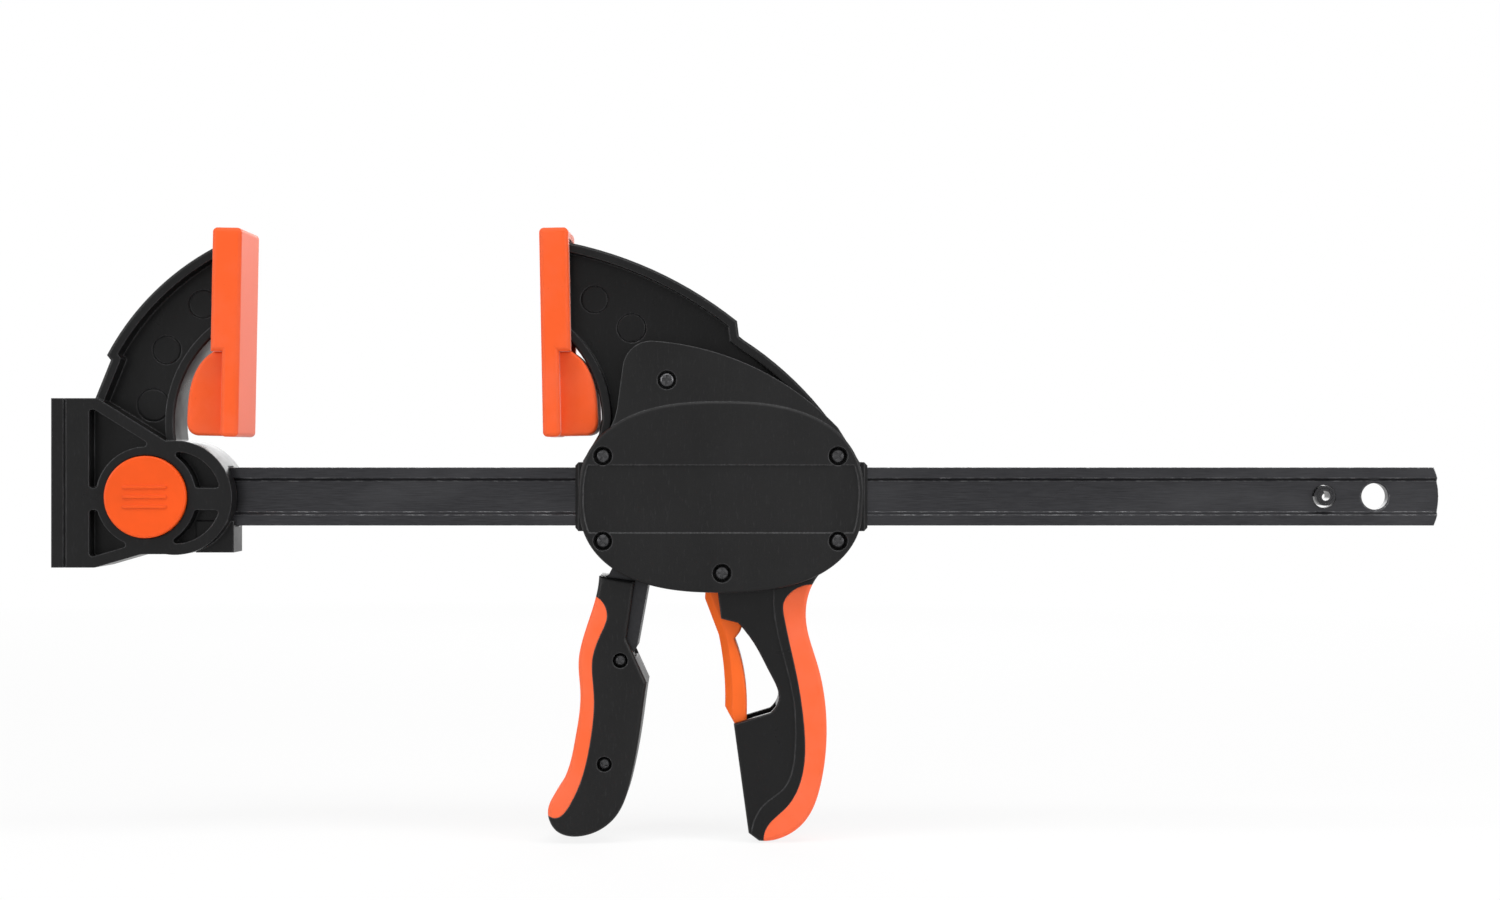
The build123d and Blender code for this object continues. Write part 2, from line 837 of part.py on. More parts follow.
def brake_plate():
    """Plate around the bar, hung from its rounded upper end and canted."""
    length = brake_anchor_z + bar_height / 2 + brake_foot
    half = brake_gauge / 2
    face = outline(
        (brake_anchor_x - half, brake_anchor_z),
        ((brake_anchor_x, brake_anchor_z + half), (brake_anchor_x + half, brake_anchor_z)),
        (brake_anchor_x + half, brake_anchor_z - length),
        (brake_anchor_x - half, brake_anchor_z - length),
    )
    slot_half = (bar_height + brake_slack) / 2
    slot_centre = brake_anchor_z * (1 - 1 / cos(radians(brake_cant)))
    slot = block(
        brake_anchor_x - brake_gauge,
        brake_anchor_x + brake_gauge,
        slot_centre - slot_half,
        slot_centre + slot_half,
    )
    plate = centred(face, plate_width) - centred(slot, bar_width + 2 * slide_gap)
    return swing(brake_anchor_x, brake_anchor_z, -brake_cant) * plate


def side_rims(trigger):
    """Edges of the trigger's two side faces, below its head."""
    rims = []
    for edge in trigger.edges():
        if abs(edge.center().Y) > trigger_width / 2 - 0.1 and edge.center().Z < -37.0:
            rims.append(edge)
    return rims


def release_trigger():
    """Finger lever clamped on the foot of the brake plate, with a bevelled front."""
    face = outline(
        (67.6, -17.0),
        (67.6, -27.0),
        (66.7, -42.0),
        (72.4, -57.0),
        [(74.4, -70.0), (75.0, -86.5)],
        (80.9, -97.0),
        (83.7, -95.0),
        [(84.0, -84.0), (82.6, -71.0), (79.0, -58.6)],
        (81.2, -55.7),
        (82.6, -52.0),
        (80.3, -44.0),
        (brake_anchor_x + trigger_back, -36.0),
        (brake_anchor_x + trigger_back, -17.0),
    )
    trigger = centred(face, trigger_width)
    front = [edge for edge in side_rims(trigger) if edge.center().X < 75.5]
    trigger = chamfer(front, trigger_bevel)
    back = [edge for edge in side_rims(trigger) if edge.center().X > 78.0]
    trigger = fillet(back, trigger_edge)
    pocket = swing(brake_anchor_x, brake_anchor_z, -brake_cant) * centred(
        block(
            brake_anchor_x - brake_gauge / 2 - seat_gap,
            brake_anchor_x + brake_gauge / 2 + seat_gap,
            -bar_height / 2 - brake_foot - seat_gap,
            0,
        ),
        plate_width,
    )
    return trigger - pocket


def brake_spring():
    """Spring that keeps the brake plate canted, between the trigger's head and the frame."""
    start = brake_anchor_x + trigger_back + seat_gap
    end = brake_anchor_x + brake_room - seat_gap
    spring = coil(brake_wire, brake_coil_radius - brake_wire / 2, end - start,
                  brake_spring_turns)
    return Pos(start, 0, -bar_height / 2 - brake_spring_drop) * spring


# ---------------------------------------------------------------- squeeze handle


def handle_face():
    return outline(
        (23.5, -32.4),
        [(21.9, -42.0), (16.3, -60.0), (15.1, -67.0), (15.8, -80.0), (13.7, -99.0),
         (8.3, -117.0), (2.5, -129.0), (5.7, -136.6), (17.3, -138.8), (30.3, -131.0),
         (36.7, -115.0), (40.7, -93.0), (43.1, -76.0)],
        (34.9, -58.0),
        (38.2, -34.4),
    )


def handle_layer_face():
    """Where the orange layer lies on the squeeze handle, seen from the side."""
    return outline(
        (-2.7, -40.6),
        (21.9, -40.6),
        [(25.6, -44.0), (26.8, -48.9), (25.1, -54.2), (20.9, -66.0), (21.4, -80.5),
         (19.8, -100.9), (12.2, -124.9), (6.4, -131.2), (1.5, -129.4)],
        (-2.7, -129.4),
    )


def handle_screw_top():
    return handle_screw_sunk - handle_width / 2


def handle_screw_length():
    return 2 * (handle_width / 2 - handle_screw_sunk - screw_head_height) - handle_wall


def handle_block():
    """Front half of the handle before it is hollowed, with its soft layer still part of it."""
    half = between(handle_face(), -handle_width / 2, 0)
    return fillet(half.faces().sort_by(Axis.Y)[0].edges(), handle_edge)


def handle_layer():
    """Soft layer on the front half of the handle."""
    layer = handle_block() & between(handle_layer_face(), -handle_width / 2, 0)
    inside = Pos(skin, 0) * handle_face()
    return layer - between(inside, skin_side - handle_width / 2, 0)


def handle_half():
    """Front half of the handle: wall, hollow for the lever and two screw bosses."""
    rise = handle_wall / 3
    hollow = Pos(handle_wall, rise) * handle_face() & Pos(-handle_wall, rise) * handle_face()
    hollow += block(27.3, 47.3, -66.0, -30.0)
    for x, z in handle_screw_places:
        hollow -= disc(x, z, screw_boss_radius)
    half = handle_block() - between(hollow, -lever_width / 2 - slide_gap, 0)
    return half - handle_layer()


def handle_bore(y_from, y_to):
    """Bores for the shanks of the two handle screws."""
    bore = Sketch()
    for x, z in handle_screw_places:
        bore += disc(x, z, screw_shank_radius + running_gap)
    return between(bore, y_from, y_to)


def handle_shell_front():
    """Front half, with recesses for the screws' heads."""
    heads = Sketch()
    for x, z in handle_screw_places:
        heads += disc(x, z, handle_screw_head + screw_recess_margin)
    under_head = handle_screw_top() + screw_head_height
    shell = handle_half() - between(heads, -handle_width / 2, under_head)
    return shell - handle_bore(under_head, 0)


def handle_shell_back():
    """Back half, which the screws' ends bite into."""
    tip = handle_screw_top() + screw_head_height + handle_screw_length()
    return mirror(handle_half(), about=Plane.XZ) - handle_bore(0, tip)


def handle_overmould_front():
    return handle_layer()


def handle_overmould_back():
    return mirror(handle_layer(), about=Plane.XZ)


def handle_screws():
    screws = []
    for x, z in handle_screw_places:
        screw = pan_screw(x, z, handle_screw_top(), handle_screw_length(), handle_screw_head)
        screws.append(screw)
    return screws


# ---------------------------------------------------------------- all pieces

os.makedirs("parts", exist_ok=True)

bar_side = [
    bar,
    stop_pin,
    fixed_jaw,
    fixed_pad,
    lock_button,
    lock_yoke,
    lock_peg,
    lock_spring,
]
head_side = [
    head_frame,
    moving_pad,
    cover_front,
    cover_back,
    cover_screws_front,
    cover_screws_back,
    grip_overmould,
    handle_pivot_pin,
    drive_lever,
    handle_shell_front,
    handle_shell_back,
    handle_overmould_front,
    handle_overmould_back,
    handle_screws,
    drive_plates,
    drive_spring,
    brake_plate,
    release_trigger,
    brake_spring,
]
for piece in bar_side:
    save(piece.__name__, 0, piece())
for piece in head_side:
    save(piece.__name__, jaw_opening, piece())
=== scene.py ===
from math import cos, pi, radians, sin

import bmesh
import bpy
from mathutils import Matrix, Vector


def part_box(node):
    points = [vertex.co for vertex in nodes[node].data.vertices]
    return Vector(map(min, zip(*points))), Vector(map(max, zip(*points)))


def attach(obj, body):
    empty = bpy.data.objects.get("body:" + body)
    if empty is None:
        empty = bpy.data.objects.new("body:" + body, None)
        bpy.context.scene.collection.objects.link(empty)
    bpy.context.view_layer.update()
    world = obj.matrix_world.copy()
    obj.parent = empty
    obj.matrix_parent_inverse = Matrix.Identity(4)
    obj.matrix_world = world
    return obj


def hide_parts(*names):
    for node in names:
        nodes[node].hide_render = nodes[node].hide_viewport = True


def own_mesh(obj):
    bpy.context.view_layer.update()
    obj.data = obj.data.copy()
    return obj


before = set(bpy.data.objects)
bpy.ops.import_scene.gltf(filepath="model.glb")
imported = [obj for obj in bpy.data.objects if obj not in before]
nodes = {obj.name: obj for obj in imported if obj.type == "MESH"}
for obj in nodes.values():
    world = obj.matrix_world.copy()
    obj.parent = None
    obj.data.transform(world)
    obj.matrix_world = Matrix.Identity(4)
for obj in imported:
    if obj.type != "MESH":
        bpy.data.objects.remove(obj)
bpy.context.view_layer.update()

# Metres, in the frame of the solids: X along the bar, Z towards the jaws' tips, the cover
# with the lock button on the -Y side, and the origin on the fixed pad's face.
MM = 0.001
BAR_Z = -67.2 * MM
FLOOR_Z = -209.2 * MM


# ---------------------------------------------------------------- node helpers


def shader_tree(name):
    """New node material; returns it with its tree, shader and Object coordinates."""
    material = bpy.data.materials.new(name)
    material.use_nodes = True
    tree = material.node_tree
    tree.nodes.clear()
    output = tree.nodes.new("ShaderNodeOutputMaterial")
    shader = tree.nodes.new("ShaderNodeBsdfPrincipled")
    tree.links.new(shader.outputs[0], output.inputs["Surface"])
    place = tree.nodes.new("ShaderNodeTexCoord")
    return material, tree, shader, place.outputs["Object"]


def stretch(tree, place, scale):
    """Object coordinates scaled per axis."""
    mapping = tree.nodes.new("ShaderNodeMapping")
    mapping.inputs["Scale"].default_value = scale
    tree.links.new(place, mapping.inputs["Vector"])
    return mapping.outputs[0]


def noise(tree, place, scale, detail=3.0, roughness=0.55):
    """Cloudy value around 0.5; scale is in features per metre."""
    texture = tree.nodes.new("ShaderNodeTexNoise")
    texture.inputs["Scale"].default_value = scale
    texture.inputs["Detail"].default_value = detail
    texture.inputs["Roughness"].default_value = roughness
    tree.links.new(place, texture.inputs["Vector"])
    return texture.outputs["Fac"]


def cells(tree, place, scale):
    """Distance to the nearest cell centre; scale is in cells per metre."""
    texture = tree.nodes.new("ShaderNodeTexVoronoi")
    texture.inputs["Scale"].default_value = scale
    tree.links.new(place, texture.inputs["Vector"])
    return texture.outputs["Distance"]


def ramp(tree, value, low, high, to_low, to_high):
    """Value mapped from one range to another, held at the ends."""
    node = tree.nodes.new("ShaderNodeMapRange")
    for socket, number in zip(node.inputs[1:5], (low, high, to_low, to_high)):
        socket.default_value = number
    tree.links.new(value, node.inputs[0])
    return node.outputs[0]


def blend_colours(tree, factor, first, second):
    """Mix of two colours; each is a tuple or a socket."""
    node = tree.nodes.new("ShaderNodeMix")
    node.data_type = "RGBA"
    tree.links.new(factor, node.inputs[0])
    for socket, colour in ((node.inputs[6], first), (node.inputs[7], second)):
        if isinstance(colour, tuple):
            socket.default_value = (*colour, 1.0)
        else:
            tree.links.new(colour, socket)
    return node.outputs[2]


def combine(tree, operation, first, second):
    """Arithmetic on two values; each is a number or a socket."""
    node = tree.nodes.new("ShaderNodeMath")
    node.operation = operation
    for socket, value in zip(node.inputs, (first, second)):
        if isinstance(value, float):
            socket.default_value = value
        else:
            tree.links.new(value, socket)
    return node.outputs[0]


def broken_edges(tree, radius):
    """Surface direction with every sharp edge turned over by a small radius."""
    node = tree.nodes.new("ShaderNodeBevel")
    node.samples = 6
    node.inputs["Radius"].default_value = radius
    return node.outputs[0]


def shown_rays(tree):
    """1 for what the camera sees straight on, mirrored in metal or through glass."""
    path = tree.nodes.new("ShaderNodeLightPath")
    mirrored = combine(tree, "MAXIMUM", path.outputs["Is Camera Ray"],
                       path.outputs["Is Glossy Ray"])
    return combine(tree, "MAXIMUM", mirrored, path.outputs["Is Transmission Ray"])


def relief(tree, shader, height, distance, strength, rounded):
    """Bump of a real depth in metres, on a surface whose edges are already rounded."""
    bump = tree.nodes.new("ShaderNodeBump")
    bump.inputs["Distance"].default_value = distance
    bump.inputs["Strength"].default_value = strength
    tree.links.new(height, bump.inputs["Height"])
    tree.links.new(rounded, bump.inputs["Normal"])
    tree.links.new(bump.outputs[0], shader.inputs["Normal"])


def rubbed_and_highlit_edges(tree, rounded, low, high):
    """0 on open surfaces, rising to 1 along sharp edges, where hands and tools rub; on the nylon
    it also paints highlights.
    """
    geometry = tree.nodes.new("ShaderNodeNewGeometry")
    turn = tree.nodes.new("ShaderNodeVectorMath")
    turn.operation = "DOT_PRODUCT"
    tree.links.new(geometry.outputs["Normal"], turn.inputs[0])
    tree.links.new(rounded, turn.inputs[1])
    return ramp(tree, turn.outputs["Value"], high, low, 0.0, 1.0)


# ---------------------------------------------------------------- materials


def moulded_nylon(name, colour, grain, roughness):
    """Black glass-filled nylon: spark-eroded grain, flow marks, scuffs, and paler edges that are
    part rub wear, part painted highlight.
    """
    material, tree, shader, place = shader_tree(name)
    edges = broken_edges(tree, 0.9 * MM)
    flow = noise(tree, stretch(tree, place, (1.0, 1.0, 0.35)), 28.0, 4.0)
    pale = tuple(channel * 1.7 for channel in colour)
    tint = blend_colours(tree, ramp(tree, flow, 0.35, 0.75, 0.0, 1.0), colour, pale)
    scuffs = noise(tree, stretch(tree, place, (3.0, 1.0, 0.6)), 420.0, 6.0, 0.72)
    dust = tuple(channel * 4.0 for channel in colour)
    tint = blend_colours(tree, ramp(tree, scuffs, 0.56, 0.74, 0.0, 0.6), tint, dust)
    # Sharp edges lightened to 15 times the base colour: part rub wear, part painted highlight
    # along the edges.
    paler_edges = combine(tree, "MULTIPLY", rubbed_and_highlit_edges(tree, edges, 0.75, 0.99),
                   ramp(tree, scuffs, 0.40, 0.60, 0.35, 1.0))
    tint = blend_colours(tree, paler_edges, tint, tuple(channel * 15.0 for channel in colour))
    tree.links.new(tint, shader.inputs["Base Color"])
    cloud = noise(tree, place, 70.0, 5.0)
    dull = ramp(tree, cloud, 0.3, 0.7, roughness + 0.07, roughness - 0.06)
    tree.links.new(dull, shader.inputs["Roughness"])
    shader.inputs["Specular IOR Level"].default_value = 0.18
    fine = combine(tree, "ADD", noise(tree, place, 2600.0, 2.0), cells(tree, place, 1900.0))
    relief(tree, shader, fine, grain, 0.55, edges)
    return material


def moulded_colour(name, colour, roughness, coat):
    """Smooth coloured plastic with slight shade variation and fine handling marks."""
    material, tree, shader, place = shader_tree(name)
    cloud = noise(tree, place, 45.0, 3.0)
    deep = tuple(channel * 0.88 for channel in colour)
    tint = blend_colours(tree, ramp(tree, cloud, 0.3, 0.7, 0.0, 1.0), deep, colour)
    tree.links.new(tint, shader.inputs["Base Color"])
    marks = noise(tree, stretch(tree, place, (1.0, 1.0, 5.0)), 320.0, 6.0, 0.7)
    tree.links.new(ramp(tree, marks, 0.35, 0.7, roughness, roughness + 0.12),
                   shader.inputs["Roughness"])
    shader.inputs["Coat Weight"].default_value = coat
    shader.inputs["Coat Roughness"].default_value = 0.25
    shader.inputs["Specular IOR Level"].default_value = 0.22
    relief(tree, shader, noise(tree, place, 1500.0, 2.0), 0.00002, 0.3,
           broken_edges(tree, 0.6 * MM))
    return material


def soft_rubber(name, colour, dust, bloom):
    """Soft thermoplastic rubber: matt, powdery at grazing angles, finely pebbled."""
    material, tree, shader, place = shader_tree(name)
    cloud = noise(tree, place, 38.0, 4.0)
    dusty = tuple(channel + (1.0 - channel) * dust for channel in colour)
    tint = blend_colours(tree, ramp(tree, cloud, 0.42, 0.8, 0.0, 0.6), colour, dusty)
    lint = noise(tree, place, 650.0, 5.0, 0.7)
    grime = tuple(channel * 0.72 for channel in colour)
    tint = blend_colours(tree, ramp(tree, lint, 0.62, 0.74, 0.0, 0.45), tint, grime)
    tree.links.new(tint, shader.inputs["Base Color"])
    tree.links.new(ramp(tree, cloud, 0.2, 0.8, 0.5, 0.64), shader.inputs["Roughness"])
    shader.inputs["Specular IOR Level"].default_value = 0.24
    shader.inputs["Sheen Weight"].default_value = bloom
    shader.inputs["Sheen Roughness"].default_value = 0.3
    pebbles = combine(tree, "ADD", cells(tree, place, 1500.0), noise(tree, place, 900.0, 2.0))
    relief(tree, shader, pebbles, 0.00003, 0.45, broken_edges(tree, 0.8 * MM))
    return material


def bar_finish():
    """Blackened rolled steel: draw lines along the bar, bright where its edges have lost the
    black.
    """
    material, tree, shader, place = shader_tree("blackened_bar_steel")
    lines = noise(tree, stretch(tree, place, (2.0, 60.0, 60.0)), 60.0, 5.0, 0.65)
    patches = noise(tree, stretch(tree, place, (1.0, 3.0, 3.0)), 14.0, 4.0)
    chips = noise(tree, stretch(tree, place, (0.6, 1.0, 1.0)), 380.0, 6.0, 0.75)
    black = blend_colours(tree, ramp(tree, lines, 0.3, 0.7, 0.0, 1.0),
                          (0.018, 0.018, 0.020), (0.042, 0.042, 0.046))
    tone = blend_colours(tree, ramp(tree, patches, 0.45, 0.75, 0.0, 0.6),
                         black, (0.060, 0.060, 0.064))
    edges = broken_edges(tree, 0.5 * MM)
    rub = combine(tree, "MULTIPLY", rubbed_and_highlit_edges(tree, edges, 0.85, 0.99),
                  ramp(tree, chips, 0.47, 0.62, 0.05, 0.8))
    paler_edges = blend_colours(tree, rub, tone, (0.46, 0.46, 0.47))
    tree.links.new(paler_edges, shader.inputs["Base Color"])
    shader.inputs["Metallic"].default_value = 0.75
    tree.links.new(ramp(tree, patches, 0.3, 0.7, 0.26, 0.36), shader.inputs["Roughness"])
    relief(tree, shader, lines, 0.00003, 0.35, edges)
    return material


def turned_steel(name, colour, roughness):
    """Bare or blackened small steel: pins, plates, springs and screws."""
    material, tree, shader, place = shader_tree(name)
    speck = noise(tree, place, 500.0, 5.0, 0.65)
    pale = tuple(min(1.0, channel * 1.4) for channel in colour)
    tint = blend_colours(tree, ramp(tree, speck, 0.35, 0.7, 0.0, 1.0), colour, pale)
    tree.links.new(tint, shader.inputs["Base Color"])
    shader.inputs["Metallic"].default_value = 0.9
    tree.links.new(ramp(tree, speck, 0.3, 0.7, roughness, roughness + 0.15),
                   shader.inputs["Roughness"])
    relief(tree, shader, noise(tree, place, 1800.0, 3.0), 0.00001, 0.4,
           broken_edges(tree, 0.2 * MM))
    return material


nylon = moulded_nylon("black_nylon", (0.0046, 0.0046, 0.0048), 0.00003, 0.32)
cover_nylon = moulded_nylon("black_cover_nylon", (0.0064, 0.0064, 0.0066), 0.00004, 0.40)
button_orange = moulded_colour("orange_button_plastic", (0.83, 0.086, 0.006), 0.40, 0.05)
trigger_orange = moulded_colour("orange_trigger_plastic", (0.95, 0.145, 0.016), 0.38, 0.05)
pad_orange = soft_rubber("orange_pad_rubber", (0.82, 0.098, 0.015), 0.05, 0.40)
grip_orange = soft_rubber("orange_grip_rubber", (0.88, 0.128, 0.036), 0.06, 0.25)
bar_steel = bar_finish()
pin_steel = turned_steel("ground_pin_steel", (0.30, 0.30, 0.31), 0.32)
spring_steel = turned_steel("spring_wire", (0.42, 0.42, 0.43), 0.28)
dark_pin = turned_steel("blackened_spring_pin", (0.034, 0.034, 0.036), 0.20)
screw_black = turned_steel("blackened_screws", (0.055, 0.055, 0.057), 0.22)
lever_black = turned_steel("blackened_lever_steel", (0.028, 0.028, 0.030), 0.42)

FINISH = {
    nylon: ("fixed_jaw", "head_frame", "lock_yoke"),
    cover_nylon: ("cover_front", "cover_back", "handle_shell_front", "handle_shell_back"),
    button_orange: ("lock_button",),
    trigger_orange: ("release_trigger",),
    pad_orange: ("fixed_pad", "moving_pad"),
    grip_orange: ("grip_overmould", "handle_overmould_front", "handle_overmould_back"),
    bar_steel: ("bar",),
    dark_pin: ("stop_pin",),
    pin_steel: ("lock_peg", "handle_pivot_pin", "drive_plates", "brake_plate"),
    spring_steel: ("drive_spring", "brake_spring", "lock_spring"),
    screw_black: ("cover_screws_front", "cover_screws_back", "handle_screws"),
    lever_black: ("drive_lever",),
}
for finish, names in FINISH.items():
    for name in names:
        mesh = nodes[name].data
        mesh.materials.clear()
        mesh.materials.append(finish)


# ---------------------------------------------------------------- geometry trees


class Nodes:
    """Short way to add and join the nodes of one geometry tree."""

    def __init__(self, name, sizes):
        self.tree = bpy.data.node_groups.new(name, "GeometryNodeTree")
        self.tree.is_modifier = True
        sockets = self.tree.interface
        sockets.new_socket("Geometry", in_out="OUTPUT", socket_type="NodeSocketGeometry")
        sockets.new_socket("Geometry", in_out="INPUT", socket_type="NodeSocketGeometry")
        for label, size in sizes.items():
            socket = sockets.new_socket(label, in_out="INPUT", socket_type="NodeSocketFloat")
            socket.default_value = size
        sockets.new_socket("Seed", in_out="INPUT", socket_type="NodeSocketInt")
        sockets.new_socket("Finish", in_out="INPUT", socket_type="NodeSocketMaterial")
        self.given = self.tree.nodes.new("NodeGroupInput").outputs
        self.result = self.tree.nodes.new("NodeGroupOutput")

    def add(self, kind, settings=None, **inputs):
        """New node; an input named with _ for each space takes a socket or a plain value."""
        node = self.tree.nodes.new(kind)
        for key, value in (settings or {}).items():
            setattr(node, key, value)
        for key, value in inputs.items():
            self.feed(node.inputs[key.replace("_", " ")], value)
        return node

    def feed(self, socket, value):
        """Links or sets one input; a vector may hold sockets among its numbers."""
        if isinstance(value, bpy.types.NodeSocket):
            self.tree.links.new(value, socket)
        elif isinstance(value, (list, tuple)) and any(
            isinstance(part, bpy.types.NodeSocket) for part in value
        ):
            joined = self.add("ShaderNodeCombineXYZ", X=value[0], Y=value[1], Z=value[2])
            self.tree.links.new(joined.outputs[0], socket)
        else:
            socket.default_value = value

    def math(self, operation, first, second):
        """Arithmetic on two values; each is a number or a socket."""
        node = self.add("ShaderNodeMath", {"operation": operation})
        self.feed(node.inputs[0], first)
        self.feed(node.inputs[1], second)
        return node.outputs[0]

    def placed(self, geometry, offset=(0.0, 0.0, 0.0), turn=(0.0, 0.0, 0.0)):
        """Geometry turned about the axes, in radians, and then moved."""
        node = self.add("GeometryNodeTransform", Geometry=geometry, Translation=offset,
                        Rotation=turn)
        return node.outputs[0]

    def join(self, *parts):
        """Several geometries as one."""
        node = self.tree.nodes.new("GeometryNodeJoinGeometry")
        for part in parts:
            self.tree.links.new(part, node.inputs[0])
        return node.outputs[0]

    def finish(self, geometry):
        """Ends the tree with real, painted geometry."""
        real = self.add("GeometryNodeRealizeInstances", Geometry=geometry)
        painted = self.add("GeometryNodeSetMaterial", Geometry=real.outputs[0],
                           Material=self.given["Finish"])
        self.tree.links.new(painted.outputs[0], self.result.inputs[0])
        return self.tree


def grown(name, tree, points, smooth_angle, values):
    """Plain mesh that a geometry tree grows from points, with its named inputs set."""
    start = bpy.data.meshes.new(name + "_points")
    start.from_pydata(points, [], [])
    piece = bpy.data.objects.new(name, start)
    bpy.context.collection.objects.link(piece)
    modifier = piece.modifiers.new(name, "NODES")
    modifier.node_group = tree
    for item in tree.interface.items_tree:
        if item.name in values:
            modifier[item.identifier] = values[item.name]
    shape = bpy.data.meshes.new_from_object(
        piece.evaluated_get(bpy.context.evaluated_depsgraph_get())
    )
    piece.modifiers.clear()
    piece.data = shape
    for face in shape.polygons:
        face.use_smooth = True
    shape.set_sharp_from_angle(angle=radians(smooth_angle))
    return piece


# ---------------------------------------------------------------- screws

# X and Z of the screws are in millimetres, from the moving pad's face, which stands at
# HEAD_X, and from the bar's centreline. The heads' depths are in metres.
HEAD_X = 122.7
COVER_SCREWS = ((51.4, 47.8), (25.3, 16.8), (121.2, 16.8), (25.3, -17.9), (121.2, -17.9),
                (73.9, -31.0))
COVER_HEAD_Y = 17.15 * MM
HANDLE_SCREWS = ((32.2, -66.9), (25.7, -109.3))
HANDLE_HEAD_Y = 13.05 * MM
SCREW_SIZES = {
    "Head Radius": 3.3 * MM,
    "Head Height": 1.9 * MM,
    "Shank Radius": 1.6 * MM,
    "Shank Length": 7.0 * MM,
    "Recess Width": 1.0 * MM,
    "Recess Depth": 1.6 * MM,
}
HANDLE_SCREW_SIZES = {"Head Radius": 2.8 * MM, "Shank Length": 21.0 * MM}


def domed_head(make):
    """Head centred on the origin, facing up, whose rim falls away into a dome."""
    radius = make.given["Head Radius"]
    height = make.given["Head Height"]
    blank = make.add("GeometryNodeMeshCylinder", Vertices=32, Side_Segments=3, Fill_Segments=7,
                     Radius=radius, Depth=height)
    spot = make.add("GeometryNodeInputPosition").outputs[0]
    parts = make.add("ShaderNodeSeparateXYZ", Vector=spot)
    flat = make.add("ShaderNodeCombineXYZ", X=parts.outputs[0], Y=parts.outputs[1])
    out = make.add("ShaderNodeVectorMath", {"operation": "LENGTH"})
    make.feed(out.inputs[0], flat.outputs[0])
    share = make.math("DIVIDE", out.outputs["Value"], radius)
    level = make.math("ADD", make.math("DIVIDE", parts.outputs[2], height), 0.5)
    fall = make.math("MULTIPLY", make.math("POWER", share, 3.2), level)
    drop = make.math("MULTIPLY", fall, make.math("MULTIPLY", height, -0.62))
    domed = make.add("GeometryNodeSetPosition", Geometry=blank.outputs[0],
                     Offset=(0.0, 0.0, drop))
    return domed.outputs[0]


def cross_recessed(make, head):
    """The head with a cross-shaped recess cut into its top."""
    reach = make.math("MULTIPLY", make.given["Head Radius"], 1.2)
    width = make.given["Recess Width"]
    deep = make.math("MULTIPLY", make.given["Recess Depth"], 2.0)
    top = (0.0, 0.0, make.math("MULTIPLY", make.given["Head Height"], 0.5))
    for size in ((reach, width, deep), (width, reach, deep)):
        arm = make.add("GeometryNodeMeshCube", Size=size).outputs[0]
        cut = make.add("GeometryNodeMeshBoolean", {"operation": "DIFFERENCE", "solver": "EXACT"})
        make.tree.links.new(head, cut.inputs["Mesh 1"])
        make.tree.links.new(make.placed(arm, top), cut.inputs["Mesh 2"])
        head = cut.outputs[0]
    return head


def shank(make):
    """Plain shank below the head."""
    length = make.given["Shank Length"]
    rod = make.add("GeometryNodeMeshCylinder", Vertices=20, Radius=make.given["Shank Radius"],
                   Depth=length).outputs[0]
    below = make.math("MULTIPLY", make.math("ADD", make.given["Head Height"], length), -0.5)
    return make.placed(rod, (0.0, 0.0, below))


def screw_tree():
    """Pan-head screws with a cross recess, one on each point, each turned its own way."""
    make = Nodes("pan_head_screws", {**SCREW_SIZES, "Facing": 1.0})
    screw = make.join(cross_recessed(make, domed_head(make)), shank(make))
    tilt = make.math("MULTIPLY", make.given["Facing"], pi / 2)
    facing = make.placed(screw, turn=(tilt, 0.0, 0.0))
    spin = make.add("FunctionNodeRandomValue", {"data_type": "FLOAT_VECTOR"})
    spin.inputs["Max"].default_value = (0.0, 2 * pi, 0.0)
    make.tree.links.new(make.given["Seed"], spin.inputs["Seed"])
    spread = make.add("GeometryNodeInstanceOnPoints", Points=make.given["Geometry"],
                      Instance=facing, Rotation=spin.outputs[0])
    return make.finish(spread.outputs[0])


SCREW_TREE = screw_tree()


def screws(node, body, places, head_y, facing, seed, sizes):
    """Replaces one CAD node of screws; head_y is the depth of the heads' middle."""
    points = [((x + HEAD_X) * MM, head_y, z * MM + BAR_Z) for x, z in places]
    values = {"Facing": facing, "Seed": seed, "Finish": screw_black, **sizes}
    piece = grown(node + "_detail", SCREW_TREE, points, 32.0, values)
    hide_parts(node)
    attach(piece, body)


screws("cover_screws_front", "sliding_head", COVER_SCREWS, -COVER_HEAD_Y, 1.0, 3, SCREW_SIZES)
screws("cover_screws_back", "sliding_head", COVER_SCREWS, COVER_HEAD_Y, -1.0, 8, SCREW_SIZES)
screws("handle_screws", "squeeze_handle", HANDLE_SCREWS, -HANDLE_HEAD_Y, 1.0, 5,
       HANDLE_SCREW_SIZES)


# ---------------------------------------------------------------- springs

SPRING_INPUTS = ("Length", "Start Radius", "End Radius", "Wire", "Turns", "X", "Y", "Z", "Turn")
DRIVE_SPRING = {
    "Wire": 1.8 * MM,
    "Start Radius": 14.5 * MM,
    "End Radius": 14.5 * MM,
    "Turns": 4.0,
}
BRAKE_SPRING = {
    "Wire": 1.2 * MM,
    "Start Radius": 3.4 * MM,
    "End Radius": 3.4 * MM,
    "Turns": 5.0,
}
LOCK_SPRING = {
    "Wire": 1.0 * MM,
    "Start Radius": 11.0 * MM,
    "End Radius": 6.5 * MM,
    "Turns": 4.0,
}
# Which axis of its box each spring is wound along.
ALONG_X, ALONG_Y = 0, 1


